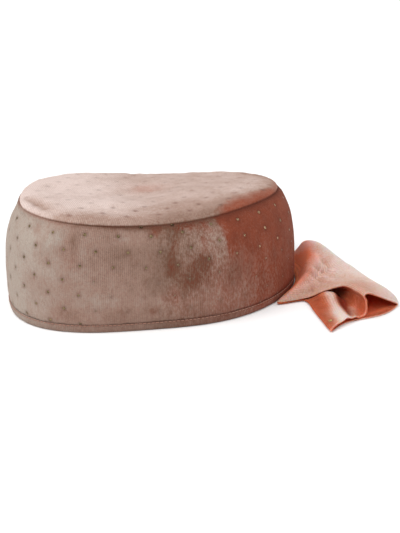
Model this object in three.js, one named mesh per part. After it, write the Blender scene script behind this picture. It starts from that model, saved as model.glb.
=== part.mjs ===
// A soft velvet cap with a turban tail, in millimetres, +Z up.
// An oval top panel is sewn to a deep side band, whose lower edge is turned and stitched as a hem.
// A gathered tube of the same velvet, the turban's tail, is sewn on at the back of the cap.
// The cap rests on its hem at z = 0, and the tail lies on the same surface, turned towards -Y.
// The origin is the centre of the head opening. The wearer's brow is at -X and the tail at +X.
import * as THREE from "three";

// Driving dimensions of the cap
const HALF_LENGTH = 103.3; // brow to back, outside, at the rim
const HALF_WIDTH = 77.5; // ear to ear, outside, at the rim
const OVAL_POWER = 2.27; // 2 is an ellipse, more is squarer
const SEAM_HEIGHT = 68; // rim to the seam of the top panel
const SEAM_INSET = 12.3; // how far the seam lies inside the rim's outline
const HEM_HEIGHT = 4.8;
const HEM_WALL = 3.2; // the velvet turned double
const BAND_WALL = 2.4; // velvet on its backing
const PANEL_WALL = 2.2;
const PANEL_ROLL = 11; // width of the soft roll inside the seam
const PANEL_PUFF = 4; // how far the roll stands above the seam
const TURNED_DEPTH = 5.2; // the panel's edge, turned down inside the seam
const TURNED_STRAIGHT = 3.2; // how far down it goes before it spreads
const TURNED_FLARE = 0.9; // how far it spreads under the band's shoulder
const SEWN_GAP = 0.35; // between two pieces that are sewn together
const TOUCH_GAP = 1; // from the rim's outline to the tail that lies beside it
const OVAL_STEPS = 60; // points round the cap

// The worn cap isn't a true oval: slow waves round its outline, as shares of the radius
const OUTLINE_WAVES = [
  { turns: 1, cosine: 0.007, sine: 0.0013 },
  { turns: 2, cosine: 0.0027, sine: -0.0058 },
  { turns: 3, cosine: -0.0084, sine: 0.0014 },
  { turns: 4, cosine: 0.0062, sine: 0.0129 },
  { turns: 5, cosine: 0.0058, sine: -0.0043 },
];
// Waves of the seam's inset and height round the cap, in millimetres
const INSET_WAVES = [
  { turns: 1, cosine: 1.9, sine: -0.7 },
  { turns: 2, cosine: -0.6, sine: -1.4 },
  { turns: 3, cosine: -2.4, sine: -0.1 },
];
const HEIGHT_WAVES = [
  { turns: 1, cosine: -2.9, sine: 0 },
  { turns: 2, cosine: 2.6, sine: -1.9 },
];
// Hem, round its section from the foot: shares of its wall inwards, and of its height
const HEM_PROFILE = [
  { inward: 0.22, up: 0 },
  { inward: -0.03, up: 0.22 },
  { inward: -0.08, up: 0.6 },
  { inward: 0.11, up: 1 },
  { inward: 0.89, up: 1 },
  { inward: 1, up: 0.6 },
  { inward: 0.78, up: 0 },
];
// Side band: share of the way from the hem to the seam, share of the seam's inset,
// and how far the inner face lies below the outer one, in millimetres
const BAND_PROFILE = [
  { up: 0, inset: 0, drop: 0 },
  { up: 0.155, inset: 0, drop: 0 },
  { up: 0.37, inset: 0.03, drop: 0 },
  { up: 0.59, inset: 0.14, drop: 0.4 },
  { up: 0.785, inset: 0.38, drop: 0.8 },
  { up: 0.914, inset: 0.67, drop: 1.3 },
  { up: 0.984, inset: 0.93, drop: 1.9 },
];
// Top panel from the seam inwards: share of the roll's width, and share of the puff
const ROLL_PROFILE = [
  { inward: 0, rise: 0 },
  { inward: 0.22, rise: 0.5 },
  { inward: 0.55, rise: 0.88 },
  { inward: 1, rise: 1 },
];
// Top panel inside the roll: share of the radius that is left, and height over the roll in millimetres
const PANEL_RINGS = [
  { share: 0.8, rise: 0.2 },
  { share: 0.55, rise: -0.4 },
  { share: 0.28, rise: -1.2 },
];
const PANEL_CENTRE_RISE = -1.6;
// The shallow dent that the top panel has behind the brow
const PANEL_DENT = { x: -18, y: 6, depth: 3.2, reach: 26 };

// The tail
const TAIL_WALL = 1.2; // one layer of velvet
const TAIL_FLAT = 3.4; // two layers lying on each other
const FLAP_ROLL = 7.5; // from the near edge to the top of its soft roll
const FLAP_HIGH = 4; // height of that roll
const OVERHANG_FULL = 8; // a lip that hangs this far over the foot is a full fold
const CUT_STEPS = 2; // rings from one cut to the next
const LOOP_STEPS = 3; // points from one key point of a cut to the next
const CLOSED_CUTS = 3; // cuts at the root that the tube's hollow doesn't reach
const MOUTH_BOW = 3.6; // the mouth's lower edge bows in by this beside the tip, and out beside the far edge
const BOW_HEIGHT = 8; // height at which the bow has died out
const BOW_RINGS = 3; // rings behind the mouth that take part in the bow

// Materials
const VELVET = new THREE.MeshStandardMaterial({ color: 0xb5897c, roughness: 0.85, metalness: 0 });
const HEM_VELVET = new THREE.MeshStandardMaterial({ color: 0xa87a6c, roughness: 0.85, metalness: 0 });
const TAIL_VELVET = new THREE.MeshStandardMaterial({ color: 0xcf9585, roughness: 0.6, metalness: 0 });

// Sum of a table of waves at an angle
function waves(table, angle) {
  return table.reduce(
    (sum, w) => sum + w.cosine * Math.cos(w.turns * angle) + w.sine * Math.sin(w.turns * angle),
    0,
  );
}

// Outside radius of the rim at an angle
function rimRadius(angle) {
  const along = Math.abs(Math.cos(angle) / HALF_LENGTH) ** OVAL_POWER;
  const across = Math.abs(Math.sin(angle) / HALF_WIDTH) ** OVAL_POWER;
  return (along + across) ** (-1 / OVAL_POWER) * (1 + waves(OUTLINE_WAVES, angle));
}

function seamInset(angle) {
  return SEAM_INSET + waves(INSET_WAVES, angle);
}

function seamHeight(angle) {
  return SEAM_HEIGHT + waves(HEIGHT_WAVES, angle);
}

// A ring of points round the cap, with radius and height as functions of the angle
function ovalRing(radiusAt, heightAt) {
  return Array.from({ length: OVAL_STEPS }, (_, i) => {
    const angle = (2 * Math.PI * i) / OVAL_STEPS;
    const radius = radiusAt(angle);
    return new THREE.Vector3(radius * Math.cos(angle), radius * Math.sin(angle), heightAt(angle));
  });
}

// Closed body skinned over rings of equal length. With no ends the last ring joins the first.
// Otherwise each end is a point, and the skin closes on it.
function skinBody(rings, ends = null) {
  const count = rings[0].length;
  const points = rings.flat();
  const triangles = [];
  const bands = ends ? rings.length - 1 : rings.length;
  for (let j = 0; j < bands; j++) {
    const low = j * count;
    const high = ((j + 1) % rings.length) * count;
    for (let i = 0; i < count; i++) {
      const next = (i + 1) % count;
      triangles.push(low + i, low + next, high + next, low + i, high + next, high + i);
    }
  }
  if (ends) {
    const first = points.push(ends.first) - 1;
    const last = points.push(ends.last) - 1;
    const top = (rings.length - 1) * count;
    for (let i = 0; i < count; i++) {
      const next = (i + 1) % count;
      triangles.push(first, next, i, last, top + i, top + next);
    }
  }
  const geometry = new THREE.BufferGeometry().setFromPoints(points);
  geometry.setIndex(triangles);
  geometry.computeVertexNormals();
  return geometry;
}

function namedMesh(name, geometry, material) {
  const mesh = new THREE.Mesh(geometry, material);
  mesh.name = name;
  return mesh;
}

// Outside radius of the cap's side at a share of the seam's inset
function sideRadius(angle, inset) {
  return rimRadius(angle) - inset * seamInset(angle);
}

// Side band: an oval wall from the hem to the seam
function sideBand() {
  const foot = HEM_HEIGHT + SEWN_GAP;
  const face = (row, wall) =>
    ovalRing(
      (angle) => sideRadius(angle, row.inset) - wall,
      (angle) => foot + (seamHeight(angle) - foot) * row.up - (wall ? row.drop : 0),
    );
  const outside = BAND_PROFILE.map((row) => face(row, 0));
  const inside = BAND_PROFILE.map((row) => face(row, BAND_WALL));
  return skinBody([...outside, ...inside.reverse()]);
}

// Hem: the turned lower edge, a soft roll with a flat foot
function hemBand() {
  return skinBody(
    HEM_PROFILE.map((row) =>
      ovalRing(
        (angle) => rimRadius(angle) - row.inward * HEM_WALL,
        () => row.up * HEM_HEIGHT,
      ),
    ),
  );
}

function dentDepth(point) {
  const away = Math.hypot(point.x - PANEL_DENT.x, point.y - PANEL_DENT.y);
  return PANEL_DENT.depth * Math.exp(-((away / PANEL_DENT.reach) ** 2));
}

// Top panel: an oval sheet with a soft roll inside its seam
function topPanel() {
  const shoulder = BAND_PROFILE.at(-1).inset;
  const edge = (angle) => sideRadius(angle, shoulder) - BAND_WALL - SEWN_GAP;
  const crown = SEAM_HEIGHT + PANEL_PUFF;
  const outside = [
    ...ROLL_PROFILE.map((row) =>
      ovalRing(
        (angle) => edge(angle) - row.inward * PANEL_ROLL,
        (angle) => seamHeight(angle) + row.rise * PANEL_PUFF,
      ),
    ),
    ...PANEL_RINGS.map((row) =>
      ovalRing(
        (angle) => (edge(angle) - PANEL_ROLL) * row.share,
        (angle) => crown + (seamHeight(angle) - SEAM_HEIGHT) * row.share + row.rise,
      ),
    ),
  ];
  outside.flat().forEach((point) => {
    point.z -= dentDepth(point);
  });
  const inside = outside.slice(1).map((ring) =>
    ring.map((point) => new THREE.Vector3(point.x, point.y, point.z - PANEL_WALL)),
  );
  const turned = [
    { spread: -PANEL_WALL, drop: TURNED_STRAIGHT },
    { spread: TURNED_FLARE - PANEL_WALL, drop: TURNED_DEPTH },
    { spread: TURNED_FLARE, drop: TURNED_DEPTH },
    { spread: 0, drop: TURNED_STRAIGHT },
  ].map((row) =>
    ovalRing(
      (angle) => edge(angle) + row.spread,
      (angle) => seamHeight(angle) - row.drop,
    ),
  );
  const centre = new THREE.Vector3(0, 0, crown + PANEL_CENTRE_RISE);
  centre.z -= dentDepth(centre);
  return skinBody([...inside.reverse(), ...turned, ...outside], {
    first: new THREE.Vector3(0, 0, centre.z - PANEL_WALL),
    last: centre,
  });
}

// A point in plan that touches the cap's side, at an angle in degrees round the cap
function beside(degrees) {
  const angle = THREE.MathUtils.degToRad(degrees);
  const radius = rimRadius(angle) + TOUCH_GAP;
  return [radius * Math.cos(angle), radius * Math.sin(angle)];
}

// Cuts across the tail, from its gathered root at the cap's back to its open mouth.
// near and far are its two edges in plan. From the near edge the upper face runs over the flap,
// dips to a valley and climbs at the foot to the lip, a fold that hangs over the flap. Then it goes
// over the crest and slopes to the ridge beside the far edge.
// valley, foot, lip and crest are shares of the width. lipUp, crestUp and ridgeUp are heights.
const NO_FLAP = { valley: 0.001, foot: 0.002, lip: 0.002 };
const TAIL_CUTS = [
  { near: beside(5), far: [112, 15], ...NO_FLAP, lipUp: 4.6, crest: 0.3, crestUp: 5.2, ridgeUp: 5.5 },
  { near: beside(-1), far: [120, 9], ...NO_FLAP, lipUp: 4.6, crest: 0.35, crestUp: 6, ridgeUp: 8 },
  { near: beside(-8), far: [127.5, 0.5], ...NO_FLAP, lipUp: 5, crest: 0.25, crestUp: 8, ridgeUp: 19.2 },
  { near: beside(-18), far: [133.5, -14], ...NO_FLAP, lipUp: 5, crest: 0.2, crestUp: 12.5, ridgeUp: 22.6 },
  { near: beside(-29), far: [137, -30], ...NO_FLAP, lipUp: 5, crest: 0.12, crestUp: 9, ridgeUp: 17.6 },
  { near: beside(-40), far: [138, -42], ...NO_FLAP, lipUp: 5, crest: 0.07, crestUp: 6.8, ridgeUp: 15.2 },
  { near: [65.5, -68.2], far: [138.5, -49.5], ...NO_FLAP, lipUp: 5, crest: 0.05, crestUp: 5.8, ridgeUp: 15 },
  {
    near: [84.4, -70.2], far: [138.8, -55.5], valley: 0.09, foot: 0.11,
    lip: 0, lipUp: 5.2, crest: 0.05, crestUp: 6.4, ridgeUp: 13.8,
  },
  {
    near: [84.7, -75.9], far: [139.2, -61.5], valley: 0.32, foot: 0.37,
    lip: 0.15, lipUp: 8, crest: 0.2, crestUp: 9.2, ridgeUp: 12.8,
  },
  {
    near: [83.4, -84.5], far: [139.8, -69.4], valley: 0.4, foot: 0.46,
    lip: 0.31, lipUp: 12.2, crest: 0.36, crestUp: 13.4, ridgeUp: 11.6,
  },
  {
    near: [81.2, -94.5], far: [140.8, -78.5], valley: 0.4, foot: 0.46,
    lip: 0.4, lipUp: 16.2, crest: 0.45, crestUp: 17, ridgeUp: 10.2,
  },
  {
    near: [79.2, -104.3], far: [142.4, -87.2], valley: 0.34, foot: 0.455,
    lip: 0.42, lipUp: 17.6, crest: 0.46, crestUp: 18.4, ridgeUp: 8.2,
  },
  {
    near: [77.8, -114], far: [142.3, -95.5], valley: 0.3, foot: 0.46,
    lip: 0.43, lipUp: 18.2, crest: 0.47, crestUp: 19, ridgeUp: 5.6,
  },
  {
    near: [77.4, -123], far: [139.6, -101.3], valley: 0.3, foot: 0.48,
    lip: 0.45, lipUp: 18.2, crest: 0.49, crestUp: 18.8, ridgeUp: 3.2,
  },
];

// Key points of one cut, from the middle of the underside round the near edge and over the top.
// out is the distance from the near edge, and up the height over the table.
// inOut and inUp lead from there to the tube's hollow, in walls.
function cutKeys(cut) {
  const width = Math.hypot(cut.far[0] - cut.near[0], cut.far[1] - cut.near[1]);
  const [valley, foot, lip, crest] = [cut.valley, cut.foot, cut.lip, cut.crest].map((share) => share * width);
  const flap = Math.min(FLAP_ROLL, 0.45 * valley);
  const valleyUp = Math.min(TAIL_FLAT, 0.56 * cut.lipUp);
  const ridge = width - 0.5 * cut.ridgeUp;
  // A cut without a flap has these keys on its near edge
  const open = Math.min(1, valley / FLAP_ROLL);
  const closed = 1.5 * (1 - open);
  const overhang = Math.min(1, (foot - lip) / OVERHANG_FULL);
  return [
    { out: 0.4 * width, up: 0, inOut: 0, inUp: 1 },
    { out: 4, up: 0, inOut: 0.2, inUp: 1 },
    { out: 0, up: 0.45 * TAIL_FLAT, inOut: 1.5, inUp: 0 },
    { out: flap, up: Math.min(FLAP_HIGH, 0.5 * cut.lipUp), inOut: closed, inUp: -open },
    { out: valley, up: valleyUp, inOut: closed, inUp: -open },
    { out: foot, up: valleyUp + 0.3, inOut: 1.2 * open + closed, inUp: -0.9 * open },
    { out: foot + 0.6 * open, up: 0.68 * cut.lipUp, inOut: 1.1 * open + closed, inUp: 0.9 * overhang },
    { out: lip, up: cut.lipUp - 1.4, inOut: 1.2 * open + closed, inUp: 0.8 * overhang - 0.1 * open },
    { out: crest, up: cut.crestUp, inOut: 0.4, inUp: -1.1 },
    { out: (crest + ridge) / 2, up: (cut.crestUp + cut.ridgeUp) / 2 + 0.5, inOut: 0, inUp: -1 },
    { out: ridge, up: cut.ridgeUp, inOut: -0.4, inUp: -1 },
    { out: width, up: 0.42 * cut.ridgeUp, inOut: -1.1, inUp: 0 },
    { out: width - 0.35 * cut.ridgeUp, up: 0, inOut: -0.6, inUp: 1 },
  ];
}
const NEAR_KEY = 2;
const FAR_KEY = 11;

// The same key point of every cut, outside or at the hollow, as a curve along the tail
function keyPaths(wall) {
  const cuts = TAIL_CUTS.map((cut) => {
    const near = new THREE.Vector3(...cut.near, 0);
    const across = new THREE.Vector3(cut.far[0] - cut.near[0], cut.far[1] - cut.near[1], 0).normalize();
    return cutKeys(cut).map((key) => {
      const point = near.clone().addScaledVector(across, key.out + wall * key.inOut);
      return point.setZ(key.up + wall * key.inUp);
    });
  });
  return cuts[0].map(
    (_, k) => new THREE.CatmullRomCurve3(cuts.map((keys) => keys[k]), false, "centripetal"),
  );
}

// A ring of the tail through its key points, with the mouth's bow
function tailRing(keys, bow) {
  const loop = new THREE.CatmullRomCurve3(keys, true, "centripetal");
  const near = keys[NEAR_KEY];
  const across = keys[FAR_KEY].clone().sub(near).setZ(0);
  const width = across.length();
  across.normalize();
  const forward = new THREE.Vector3(across.y, -across.x, 0);
  const floor = keys[0].z;
  const count = keys.length * LOOP_STEPS;
  return Array.from({ length: count }, (_, i) => {
    const point = loop.getPoint(i / count);
    point.z = Math.max(point.z, floor);
    const share = point.clone().sub(near).dot(across) / width;
    const fade = Math.max(0, 1 - point.z / BOW_HEIGHT);
    return point.addScaledVector(forward, -bow * fade * Math.sin(2 * Math.PI * share));
  });
}

function middle(ring) {
  return ring.reduce((sum, point) => sum.add(point), new THREE.Vector3()).divideScalar(ring.length);
}

// Tail: rings through the cuts, round the hollow and outside, joined round the mouth
function tailTube() {
  const last = (TAIL_CUTS.length - 1) * CUT_STEPS;
  const rings = (wall, first) => {
    const paths = keyPaths(wall);
    return Array.from({ length: last + 1 - first }, (_, i) => {
      const at = first + i;
      const bow = MOUTH_BOW * Math.max(0, 1 - (last - at) / BOW_RINGS);
      return tailRing(paths.map((path) => path.getPoint(at / last)), bow);
    });
  };
  const outside = rings(0, 0);
  const hollow = rings(TAIL_WALL, CLOSED_CUTS * CUT_STEPS);
  return skinBody([...hollow, ...outside.reverse()], {
    first: middle(hollow[0]),
    last: middle(outside.at(-1)),
  });
}

const cap = new THREE.Group();
cap.add(
  namedMesh("side_band", sideBand(), VELVET),
  namedMesh("hem_band", hemBand(), HEM_VELVET),
  namedMesh("crown_top", topPanel(), VELVET),
  namedMesh("tail", tailTube(), TAIL_VELVET),
);

export default cap;
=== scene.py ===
import math

import bpy
import numpy as np
from mathutils import Matrix, Vector, noise


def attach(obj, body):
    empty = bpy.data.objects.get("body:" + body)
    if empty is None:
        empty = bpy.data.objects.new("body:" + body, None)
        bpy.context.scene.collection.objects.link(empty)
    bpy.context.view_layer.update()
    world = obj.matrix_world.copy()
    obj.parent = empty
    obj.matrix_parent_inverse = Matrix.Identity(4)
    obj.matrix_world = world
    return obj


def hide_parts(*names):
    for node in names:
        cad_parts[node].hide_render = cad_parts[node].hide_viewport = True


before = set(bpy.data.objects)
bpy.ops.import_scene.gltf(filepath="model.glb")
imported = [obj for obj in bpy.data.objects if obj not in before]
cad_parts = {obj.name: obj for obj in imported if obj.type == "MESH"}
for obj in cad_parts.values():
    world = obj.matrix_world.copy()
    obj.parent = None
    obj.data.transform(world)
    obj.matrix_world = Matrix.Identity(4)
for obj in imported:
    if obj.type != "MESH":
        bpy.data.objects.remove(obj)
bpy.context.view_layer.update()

# A soft velvet cap with a turban tail, in metres, +Z up.
# The wearer's brow is at -X, the tail at +X, and the cap rests on its hem at z = 0.

# Driving dimensions of the cap, as in the frame
HALF_LENGTH = 0.1033
HALF_WIDTH = 0.0775
OVAL_POWER = 2.27
SEAM_HEIGHT = 0.068
SEAM_INSET = 0.0123
SEAM_DIP = {"angle": 172, "depth": 0.0026, "reach": 17}  # the seam sags at the left end of the cap
HEM_HEIGHT = 0.0048
HEM_WALL = 0.0032
BAND_WALL = 0.0024
PANEL_WALL = 0.0022
PANEL_ROLL = 0.011
PANEL_PUFF = 0.004
SEWN_GAP = 0.00035
TOUCH_GAP = 0.001
SHOULDER_INSET = 0.93  # share of the seam's inset at the band's top edge
PANEL_DENT = {"x": -0.018, "y": 0.006, "depth": 0.0032, "reach": 0.026}

# Slow waves round the cap, from a fit to its outline in the photo: turns, cosine, sine
OUTLINE_WAVES = [
    (1, 0.007, 0.0013), (2, 0.0027, -0.0058), (3, -0.0084, 0.0014),
    (4, 0.0062, 0.0129), (5, 0.0058, -0.0043),
]
INSET_WAVES = [(1, 0.0019, -0.0007), (2, -0.0006, -0.0014), (3, -0.0024, -0.0001)]
HEIGHT_WAVES = [(1, -0.0029, 0.0), (2, 0.0026, -0.0019)]

# Hem, round its section from the foot: shares of its wall inwards, and of its height
HEM_PROFILE = [
    (0.24, 0.0), (0.02, 0.16), (-0.09, 0.42), (-0.1, 0.7), (0.02, 0.93), (0.26, 1.04),
    (0.7, 1.03), (0.93, 0.9), (1.0, 0.55), (0.96, 0.2), (0.78, 0.0),
]
# Side band, outside from the hem to the crease at the seam:
# share of the way up, share of the seam's inset, and further inwards in metres
BAND_OUTSIDE = [
    (-0.008, 0.0, 0.0014), (0.012, 0.0, 0.0004), (0.05, 0.0, -0.0001), (0.155, 0.0, 0.0), (0.37, 0.03, 0.0),
    (0.59, 0.14, 0.0), (0.785, 0.38, 0.0), (0.9, 0.64, 0.0), (0.968, 0.87, 0.0), (0.995, 1.02, 0.0),
    (0.996, 1.09, 0.0002), (0.975, 1.13, 0.0003), (0.945, 1.13, 0.0002),
]
# Side band, inside from the seam down to the hem: the same shares, and how far below the outside
BAND_INSIDE = [
    (0.945, 1.15, 0.0), (0.9, 0.86, 0.0013), (0.785, 0.38, 0.0008), (0.59, 0.14, 0.0004), (0.37, 0.03, 0.0),
    (0.155, 0.0, 0.0), (-0.005, 0.0, 0.0),
]
# Top panel, outside from the crease inwards: metres inwards from its edge, and metres above the seam
ROLL_OUTSIDE = [
    (0.0005, -0.0034), (0.0, -0.0016), (-0.0011, -0.0001), (-0.0008, 0.0013), (0.0006, 0.0025),
    (0.0026, 0.0034), (0.0060, 0.0042), (0.011, 0.0044),
]
# Top panel, underside with the edge that is turned down inside the seam
ROLL_UNDERSIDE = [
    (0.011, 0.0018), (0.0062, 0.0013), (0.0032, 0.0001), (0.0024, -0.0016), (0.0022, -0.0034),
    (0.0013, -0.0052), (-0.0008, -0.0052), (0.0003, -0.0042),
]
# Top panel inside the roll: share of the radius that is left, and height over the roll
PANEL_RINGS = [
    (0.9, 0.00015), (0.8, 0.0002), (0.68, 0.0), (0.55, -0.0004),
    (0.41, -0.0008), (0.28, -0.0012), (0.14, -0.0015), (0.03, -0.0016),
]

AROUND = 640  # points round the cap
BAND_STEPS = 8  # rows to each span of the side band's outside
BAND_TOP_ROW = 9  # spans of the side band below its shoulder
BAND_INNER_STEPS = 3
HEM_STEPS = 4
PANEL_STEPS = 6
UNDER_STEPS = 2

# Foil dots, printed in a staggered lattice
DOT_RADIUS = 0.00122
DOT_RISE = 0.00016
DOT_SIDES = 12
DOT_RINGS = [(1.0, -0.6), (0.92, 0.4), (0.6, 0.85)]  # shares of the radius and of the rise
DOT_SINK = 0.00022
DOT_HALO = 0.0017
DOT_SPACING = 0.0202
DOT_ROW_STEP = 0.00955
DOT_TOP_ROW = 0.0653
DOT_ROWS = 7
DOT_START = 198.7  # angle of one dot of the top row, in degrees
DOT_DIP = {"angle": 255, "depth": 0.005, "reach": 32}
DOT_RIGHT_DIP = 0.0018
PANEL_DOTS = {"base": (-0.0373, -0.0351), "along": (0.0213, 0.0), "row": (-0.0015, 0.0096), "edge": 0.0030}
LATTICE_REACH = 12  # rows and columns of the lattice to each side of its base
TAIL_DOT = {"plan": (0.0818, -0.1112), "keys": (2, 4), "strength": 1.0}  # lies between two keys of the cuts
TAIL_DOT_LIFT = 0.0002  # the tail curves over the dot, so its foil stands a little higher
PANEL_RIDGE_Y = -0.028  # the top panel slopes down to the front from here

# Smooth unevenness: size of a lump along x, y and z in metres, its height, and the seed.
# What only colours the cloth has the height 1, and what lies flat has 1 metre along z.
NOISE = {
    "band_form": ((0.045, 0.045, 0.040), 0.0005, 1),
    "band_ripple": ((0.010, 0.010, 0.030), 0.00016, 2),
    "band_pucker": ((0.0050, 0.0050, 0.013), 1, 3),
    "above_hem": ((0.004, 0.004, 0.012), 0.00022, 4),
    "band_wide": ((0.020, 0.020, 0.030), 1, 5),
    "band_streaks": ((0.0035, 0.0035, 0.011), 1, 6),
    "hem_pucker": ((0.0035, 0.0035, 0.008), 0.00018, 7),
    "hem_form": ((0.02, 0.02, 0.02), 0.00025, 8),
    "panel_form": ((0.030, 0.022, 1.0), 0.0004, 9),
    "panel_ripple": ((0.010, 0.006, 1.0), 0.00020, 10),
    "panel_streaks": ((0.006, 0.006, 0.006), 1, 11),
    "panel_wide": ((0.025, 0.018, 0.02), 1, 12),
    "roll_pucker": ((0.0060, 0.0060, 0.010), 0.0006, 13),
    "tail_form": ((0.018, 0.018, 1.0), 0.00035, 14),
    "tail_ripple": ((0.006, 0.006, 1.0), 0.00015, 15),
    "tail_wide": ((0.012, 0.012, 0.012), 1, 16),
    "band_lumps": ((0.006, 0.006, 0.007), 0.00020, 18),
    "panel_pucker": ((0.0050, 0.0050, 1.0), 0.00032, 19),
    "band_patchy": ((0.007, 0.007, 0.013), 1, 20),
}

# Ramps by name: where each is 0 and where it is 1, in metres if not in degrees
RAMPS = {
    # Angles round the cap, in degrees
    "seam_pale_from": (170, 190), "seam_pale_to": (240, 215), "deep_puckers": (238, 208),
    "mottled": (254, 268), "right_side": (284, 296), "frosted": (246, 262), "frost_ends": (286, 294),
    "crease_widens": (225, 255), "dots_lower": (284, 300), "dots_level": (378, 350),
    "dots_faint": (216, 232), "dots_worn": (290, 302), "dots_whole": (370, 350),
    "edge_brushed": (284, 316), "edge_narrower": (320, 342), "edge_back": (372, 354),
    "panel_shaded": (186, 214), "edge_shaded": (196, 218),
    # Heights on the side, and below or above a seam
    "low_side": (0.058, 0.030), "high_side": (0.020, 0.045), "faint_height": (0.048, 0.030),
    "worn_height": (0.052, 0.030), "under_seam": (0.0006, 0.0030), "over_foot": (0.0002, 0.0016),
    "in_crease": (0.0012, 0.0), "over_crease": (0.0002, 0.0015),
    # Distances inwards from the top panel's edge, and widths of its brushed rim
    "near_edge": (0.018, 0.004), "at_edge": (0.0075, 0.0015), "crease_width": (0.004, 0.002),
    "inside_edge": (-0.0005, 0.0045), "wide_rim": (0.0006, 0.006),
    # Places along X or Y on the top panel and on the tail
    "left_end": (-0.110, -0.060), "right_part": (-0.045, 0.004), "front_half": (0.020, -0.010),
    "front_dots": (-0.020, -0.034), "flap_starts": (-0.068, -0.078), "before_flap": (-0.079, -0.067),
    "beside_cap": (-0.072, -0.056),
    # Distances of the tail's cloth from the cap
    "valley": (0.0240, 0.0020), "glow": (0.038, 0.006),
    # Shares
    "strong_streak": (0.0, 0.9), "brushed_rim": (1.55, -0.20),
}


def named_rows(names, table):
    """Rows of a table with a name for each value. Values left out at a row's end are 0."""
    return [dict(zip(names, row + (0.0,) * (len(names) - len(row)))) for row in table]


def bell(value, middle, reach):
    """1 at the middle, fading to 0 past its reach."""
    return np.exp(-(((value - middle) / reach) ** 2))


def dip_at(dip, degrees):
    return dip["depth"] * bell(degrees, dip["angle"], dip["reach"])


def waves(table, angle):
    return sum(c * np.cos(turns * angle) + s * np.sin(turns * angle) for turns, c, s in table)


def rim_radius(angle):
    along = np.abs(np.cos(angle) / HALF_LENGTH) ** OVAL_POWER
    across = np.abs(np.sin(angle) / HALF_WIDTH) ** OVAL_POWER
    return (along + across) ** (-1 / OVAL_POWER) * (1 + waves(OUTLINE_WAVES, angle))


def seam_inset(angle):
    return SEAM_INSET + waves(INSET_WAVES, angle)


def seam_height(angle):
    return SEAM_HEIGHT + waves(HEIGHT_WAVES, angle) - dip_at(SEAM_DIP, np.degrees(angle) % 360)


ANGLES = np.arange(AROUND) * 2 * math.pi / AROUND


def oval_ring(radius, height):
    height = height + np.zeros(AROUND)
    return np.stack([radius * np.cos(ANGLES), radius * np.sin(ANGLES), height], axis=1)


def root_distance(a, b):
    return np.sqrt(np.linalg.norm(b - a, axis=-1, keepdims=True))


def loft(keys, steps, closed=False):
    """Centripetal Catmull-Rom curves through the first axis of keys, with steps points to each span."""
    count = len(keys)
    spans = count if closed else count - 1
    if closed:
        before, after, last = keys[-1], keys[0], keys[1]
    else:
        before, after, last = 2 * keys[0] - keys[1], 2 * keys[-1] - keys[-2], None
    path = [before, *keys, after] + ([last] if closed else [])
    rows = []
    for i in range(spans):
        p0, p1, p2, p3 = path[i : i + 4]
        d0, d1, d2 = root_distance(p0, p1), root_distance(p1, p2), root_distance(p2, p3)
        d1 = np.where(d1 < 1e-6, 1.0, d1)
        d0 = np.where(d0 < 1e-6, d1, d0)
        d2 = np.where(d2 < 1e-6, d1, d2)
        out = ((p1 - p0) / d0 - (p2 - p0) / (d0 + d1) + (p2 - p1) / d1) * d1
        into = ((p2 - p1) / d1 - (p3 - p1) / (d1 + d2) + (p3 - p2) / d2) * d1
        for k in range(steps):
            t = k / steps
            rows.append(
                (2 * t**3 - 3 * t**2 + 1) * p1
                + (t**3 - 2 * t**2 + t) * out
                + (3 * t**2 - 2 * t**3) * p2
                + (t**3 - t**2) * into
            )
    if not closed:
        rows.append(keys[-1])
    return np.array(rows)


def grid_normals(grid, wrap_rows=False):
    """Unit normals of a grid of rows by columns, whose columns close on themselves."""
    if wrap_rows:
        down = np.roll(grid, -1, 0) - np.roll(grid, 1, 0)
    else:
        down = np.gradient(grid, axis=0)
    along = np.roll(grid, -1, 1) - np.roll(grid, 1, 1)
    normal = np.cross(along, down)
    length = np.linalg.norm(normal, axis=-1, keepdims=True)
    return normal / np.maximum(length, 1e-12)


def noise_at(grid, name):
    """Smooth noise of the table at every point of a grid, about as far to both sides of 0 as its height."""
    size, height, seed = NOISE[name]
    shift = Vector((seed * 7.3, seed * 3.1, seed * 5.7))
    places = grid.reshape(-1, 3) / np.array(size)
    values = [noise.noise(Vector(place) + shift) for place in places]
    return height * np.array(values).reshape(grid.shape[:-1])


def smooth_step(start, end, value):
    """0 up to start, 1 from end on, and smooth between them. end may lie below start."""
    t = np.clip((value - start) / (end - start), 0, 1)
    return t * t * (3 - 2 * t)


def ramp(name, value):
    return smooth_step(*RAMPS[name], value)


def distances_round(ring):
    """Distance from each point of a closed ring to the next."""
    return np.linalg.norm(np.roll(ring, -1, 0) - ring, axis=1)


def running_total(lengths):
    return np.concatenate([[0], np.cumsum(lengths)])


def flat_cloth(grid, ring):
    """Place of each point on the flat cloth: along the ring, and down from the first row."""
    along = running_total(distances_round(ring))[:-1]
    down = running_total(np.linalg.norm(np.diff(grid, axis=0), axis=-1).mean(axis=1))
    return np.stack(np.broadcast_arrays(along[None, :], down[:, None]), axis=-1)


def painted(nap, tone, frost, spot):
    """The fields that the velvet reads at each point, each within its range.

    nap says how far the pile is brushed down; tone is paler above 0 and darker below, and besides the pile's
    own tone it carries painted light, sheen and shade;
    frost says how uneven the pile is; spot is the sunk ring round a foil dot, darkened by the pressed pile
    and by painted shade in the dent, and it also carries the painted shade of the seam's crease.
    """
    tone = np.clip(tone, -TONE_LIMIT, TONE_LIMIT)
    return {"nap": np.clip(nap, 0, 1), "tone": tone, "frost": np.clip(frost, 0, 1), "spot": spot}


def plain_object(name, points, faces):
    mesh = bpy.data.meshes.new(name)
    mesh.from_pydata([tuple(p) for p in points], [], faces)
    mesh.shade_smooth()
    mesh.validate()
    obj = bpy.data.objects.new(name, mesh)
    bpy.context.scene.collection.objects.link(obj)
    return obj


def add_field(obj, name, values):
    layer = obj.data.attributes.new(name, "FLOAT", "POINT")
    layer.data.foreach_set("value", np.array(values, dtype=np.float32))


def corners(table):
    """The four values round each face of a grid."""
    return np.stack([table[:-1, :-1], table[:-1, 1:], table[1:, 1:], table[1:, :-1]], axis=2)


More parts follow.
